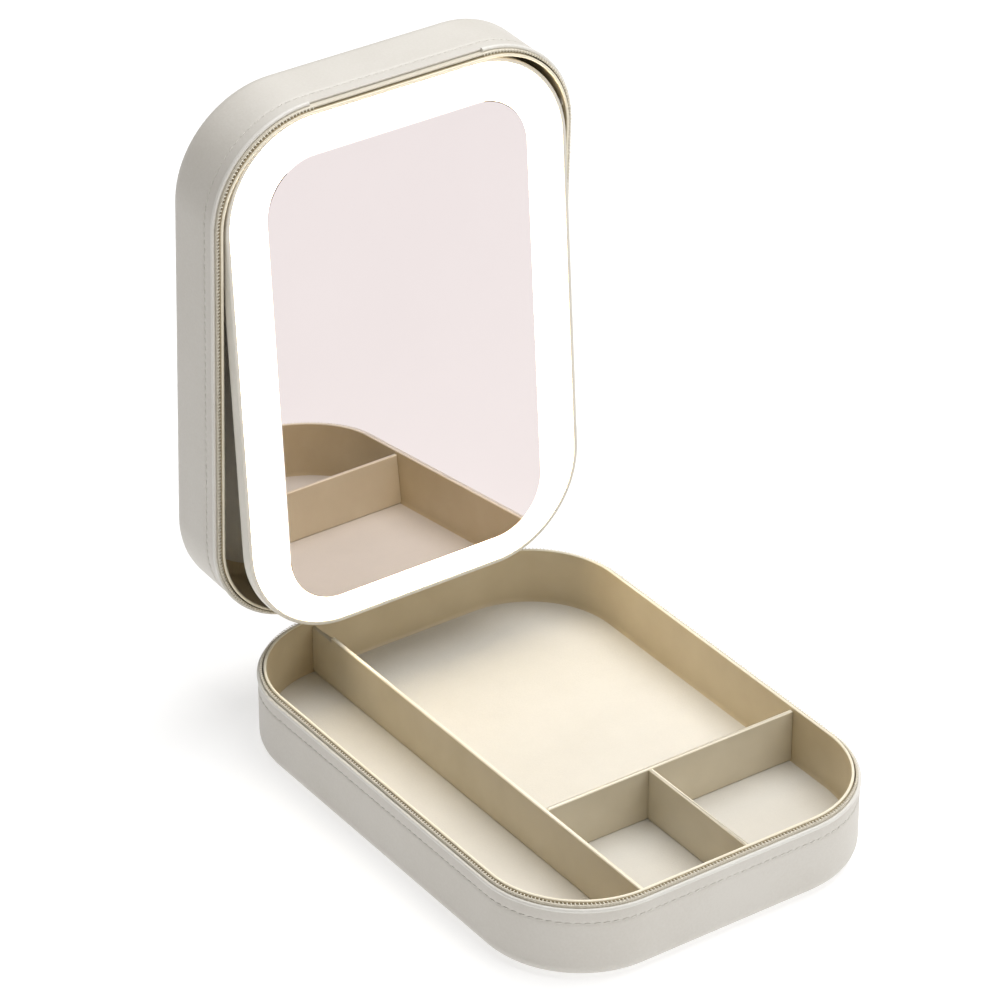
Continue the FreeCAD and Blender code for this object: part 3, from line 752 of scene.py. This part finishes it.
# ------------------------------------------------------------ mirror glass
# Silvered glass let into the light ring, with a narrow polished bevel, and set
# just behind the ring's face.
GLASS_SET = 0.05 * MM
GLASS_THICK = 2.0 * MM
GLASS_BEVEL = 0.45 * MM
mirror_silver = Finish("mirror_silver", Metallic=1.0, Roughness=0.01)
haze = mirror_silver.noise(26.0, 3.0)
mirror_silver.feed(Base_Color=mirror_silver.ramp(
    haze, (0.3, (0.69, 0.63, 0.63)), (0.7, (0.70, 0.64, 0.64))),
    Roughness=haze * 0.006 + 0.004)
glass = make(slab(GLASS_SIZE, MIRROR_FRONT + GLASS_SET, MIRROR_FRONT + GLASS_SET + GLASS_THICK, GLASS_BEVEL,
                  MIRROR_MID + GLASS_SHIFT, 2, 24), "silvered_glass", "mirror",
             mirror_place, 15)
mirror_silver.on(glass)
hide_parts("mirror_glass")

# ------------------------------------------------------------ mirror electronics
# Lamp strip, reflector, flat cell, board and socket sealed in the housing,
# and the steel pins and plastic bushes the panel turns on.
def plain_finish(name, light, dark, scale, rough, metal=0.0):
    """A lightly speckled finish for the parts that are closed in."""
    finish = Finish(name, Roughness=rough, Metallic=metal)
    speck = finish.noise(scale, 4.0)
    finish.feed(Base_Color=finish.ramp(speck, (0.35, dark), (0.65, light)),
                Roughness=speck * 0.15 + (rough - 0.07))
    return finish.bump(speck, 0.00003, 0.4)


hidden = {
    plain_finish("formed_board", (0.52, 0.46, 0.38), (0.42, 0.37, 0.30), 500.0, 0.9):
        ("base_core_shell", "lid_core_shell"),
    plain_finish("soft_foam", (0.78, 0.77, 0.73), (0.66, 0.65, 0.61), 1800.0, 0.95):
        ("base_foam_board",),
    plain_finish("bush_nylon", (0.74, 0.70, 0.62), (0.68, 0.64, 0.56), 900.0, 0.4):
        ("pivot_bush_left", "pivot_bush_right"),
    plain_finish("pin_steel", (0.66, 0.66, 0.66), (0.55, 0.55, 0.56), 1200.0, 0.28, 1.0):
        ("mirror_pin_left", "mirror_pin_right"),
    plain_finish("strip_flex", (0.92, 0.91, 0.86), (0.80, 0.78, 0.70), 420.0, 0.5):
        ("led_strip",),
    plain_finish("white_sheet", (0.93, 0.93, 0.92), (0.88, 0.88, 0.87), 60.0, 0.7):
        ("reflector_plate",),
    plain_finish("cell_foil", (0.74, 0.75, 0.76), (0.62, 0.63, 0.65), 240.0, 0.3, 1.0):
        ("battery_cell",),
    plain_finish("green_board", (0.06, 0.24, 0.14), (0.03, 0.14, 0.08), 700.0, 0.35):
        ("control_board",),
    plain_finish("socket_shell", (0.75, 0.75, 0.75), (0.62, 0.62, 0.63), 800.0, 0.25, 1.0):
        ("charge_socket",),
}
for finish, members in hidden.items():
    for member in members:
        finish.on(frame["nodes"][member])

# ------------------------------------------------------------ spine
# One leather strip sewn down the back of both shells, built already folded along the zip line at the lid's
# open angle.
SPINE_WIDTH = 48.0 * MM
SPINE_LOW = 8.0 * MM
SPINE_REACH = 22.0 * MM
SPINE_THICK = 0.7 * MM
FOLD_RADIUS = 1.3 * MM
spine_form = bmesh.new()
ends = [spine_form.verts.new((side * SPINE_WIDTH / 2, FOLD.y, SPINE_LOW)) for side in (-1, 1)]
edge = spine_form.edges.new(ends)
spine_top = FOLD.z - FOLD_RADIUS
straight = 8
FOLD_EASE = 0.82
heading = 0.0
moves = [(0.0, (spine_top - SPINE_LOW) / straight)] * straight
bend_steps = 8
for step in range(bend_steps):
    heading += LID_OPEN / bend_steps
    middle_heading = heading - LID_OPEN / bend_steps / 2
    length = FOLD_RADIUS * math.tan(LID_OPEN / 2) * 2 / bend_steps * FOLD_EASE
    moves.append((length * math.sin(middle_heading), length * math.cos(middle_heading)))
moves += [(SPINE_REACH / straight * math.sin(LID_OPEN),
           SPINE_REACH / straight * math.cos(LID_OPEN))] * straight
for move_y, move_z in moves:
    grown = bmesh.ops.extrude_edge_only(spine_form, edges=[edge])["geom"]
    bmesh.ops.translate(spine_form, vec=(0, move_y, move_z),
                        verts=[v for v in grown if isinstance(v, bmesh.types.BMVert)])
    edge = next(e for e in grown if isinstance(e, bmesh.types.BMEdge)
                and abs(e.verts[0].co.x - e.verts[1].co.x) > SPINE_WIDTH / 2)
bmesh.ops.recalc_face_normals(spine_form, faces=spine_form.faces)
bmesh.ops.solidify(spine_form, geom=spine_form.faces[:], thickness=SPINE_THICK)
spine = make(spine_form, "spine_strip", None)
ivory_leather.on(spine)
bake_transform(spine)
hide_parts("base_hinge_leaf", "lid_hinge_leaf")

# ------------------------------------------------------------ zip sliders
# Two pale gold sliders parked either side of the spine. Each is a cast body with
# two lugs and a bar, and a pull with a raised face that hangs from the bar.
pale_gold = Finish("pale_gold", Metallic=1.0, Roughness=0.22)
rub = pale_gold.noise(380.0, 4.0)
pale_gold.feed(Base_Color=pale_gold.ramp(rub, (0.3, (0.80, 0.62, 0.36)), (0.7, (0.88, 0.72, 0.46))),
               Roughness=rub * 0.2 + 0.12)
pale_gold.bump(pale_gold.noise(2500.0), 0.00002, 0.4)


def block(form, middle, size, rounding, segments=3):
    """Add a softened block to a form."""
    made = bmesh.ops.create_cube(form, size=1.0, matrix=Matrix.Translation(middle)
                                 @ Matrix.Diagonal((*size, 1)))["verts"]
    edges = list({e for v in made for e in v.link_edges})
    bmesh.ops.bevel(form, geom=edges, offset=rounding, offset_type="OFFSET", segments=segments,
                    profile=0.5, affect="EDGES", material=-1)


def bar(form, middle, radius, length, segments=20):
    """Add a round bar along X with softened ends."""
    made = bmesh.ops.create_cone(form, cap_ends=True, segments=segments, radius1=radius,
                                 radius2=radius, depth=length,
                                 matrix=Matrix.Translation(middle)
                                 @ Matrix.Rotation(math.pi / 2, 4, "Y"))["verts"]
    rims = [e for e in {e for v in made for e in v.link_edges}
            if abs(e.verts[0].co.x - e.verts[1].co.x) < 1e-7]
    bmesh.ops.bevel(form, geom=rims, offset=radius * 0.2, offset_type="OFFSET", segments=2,
                    profile=0.5, affect="EDGES", material=-1)


TONGUE_HEIGHT = 29.2 * MM
for side in ("left", "right"):
    eye = Vector(joints["pull_" + side + "_swing"]["pos_m"])
    x = eye.x
    low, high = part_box("zip_slider_" + side)
    face_y = CASE_DEPTH / 2 + 0.1 * MM
    slider_form = bmesh.new()
    block(slider_form, (x, face_y + 0.6 * MM, (low.z + high.z) / 2),
          (6.0 * MM, 1.2 * MM, high.z - low.z), 0.45 * MM, 4)
    block(slider_form, (x, face_y - 0.9 * MM, TONGUE_HEIGHT), (4.4 * MM, 2.4 * MM, 0.9 * MM), 0.3 * MM)
    for lug in (-1, 1):
        block(slider_form, (x + lug * 1.75 * MM, face_y + 2.1 * MM, eye.z),
              (0.8 * MM, 2.2 * MM, 2.2 * MM), 0.3 * MM)
    bar(slider_form, eye, 0.4 * MM, 3.5 * MM)
    slider = make(slider_form, "slider_" + side, "base")
    pale_gold.on(slider)
    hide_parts("zip_slider_" + side)

    pull_form = bmesh.new()
    ring = bmesh.ops.create_circle(pull_form, segments=10, radius=0.32 * MM)["verts"]
    bmesh.ops.scale(pull_form, vec=(3.4, 1, 1), verts=ring)
    bmesh.ops.translate(pull_form, vec=(0, 0.78 * MM, 0), verts=ring)
    ring_edges = list({e for v in ring for e in v.link_edges})
    bmesh.ops.spin(pull_form, geom=ring + ring_edges, cent=(0, 0, 0), axis=(1, 0, 0),
                   angle=2 * math.pi, steps=20, use_merge=True)
    bmesh.ops.translate(pull_form, vec=eye, verts=pull_form.verts)
    block(pull_form, (x, eye.y, eye.z - 4.0 * MM), (2.4 * MM, 1.0 * MM, 6.0 * MM), 0.3 * MM)
    block(pull_form, (x, eye.y, eye.z - 13.5 * MM), (6.0 * MM, 1.2 * MM, 15.0 * MM), 0.5 * MM, 4)
    block(pull_form, (x, eye.y + 0.5 * MM, eye.z - 13.5 * MM), (4.0 * MM, 0.5 * MM, 12.4 * MM),
          0.2 * MM)
    pull = make(pull_form, "pull_" + side, "pull_" + side)
    pale_gold.on(pull)
    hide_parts("zip_pull_" + side)
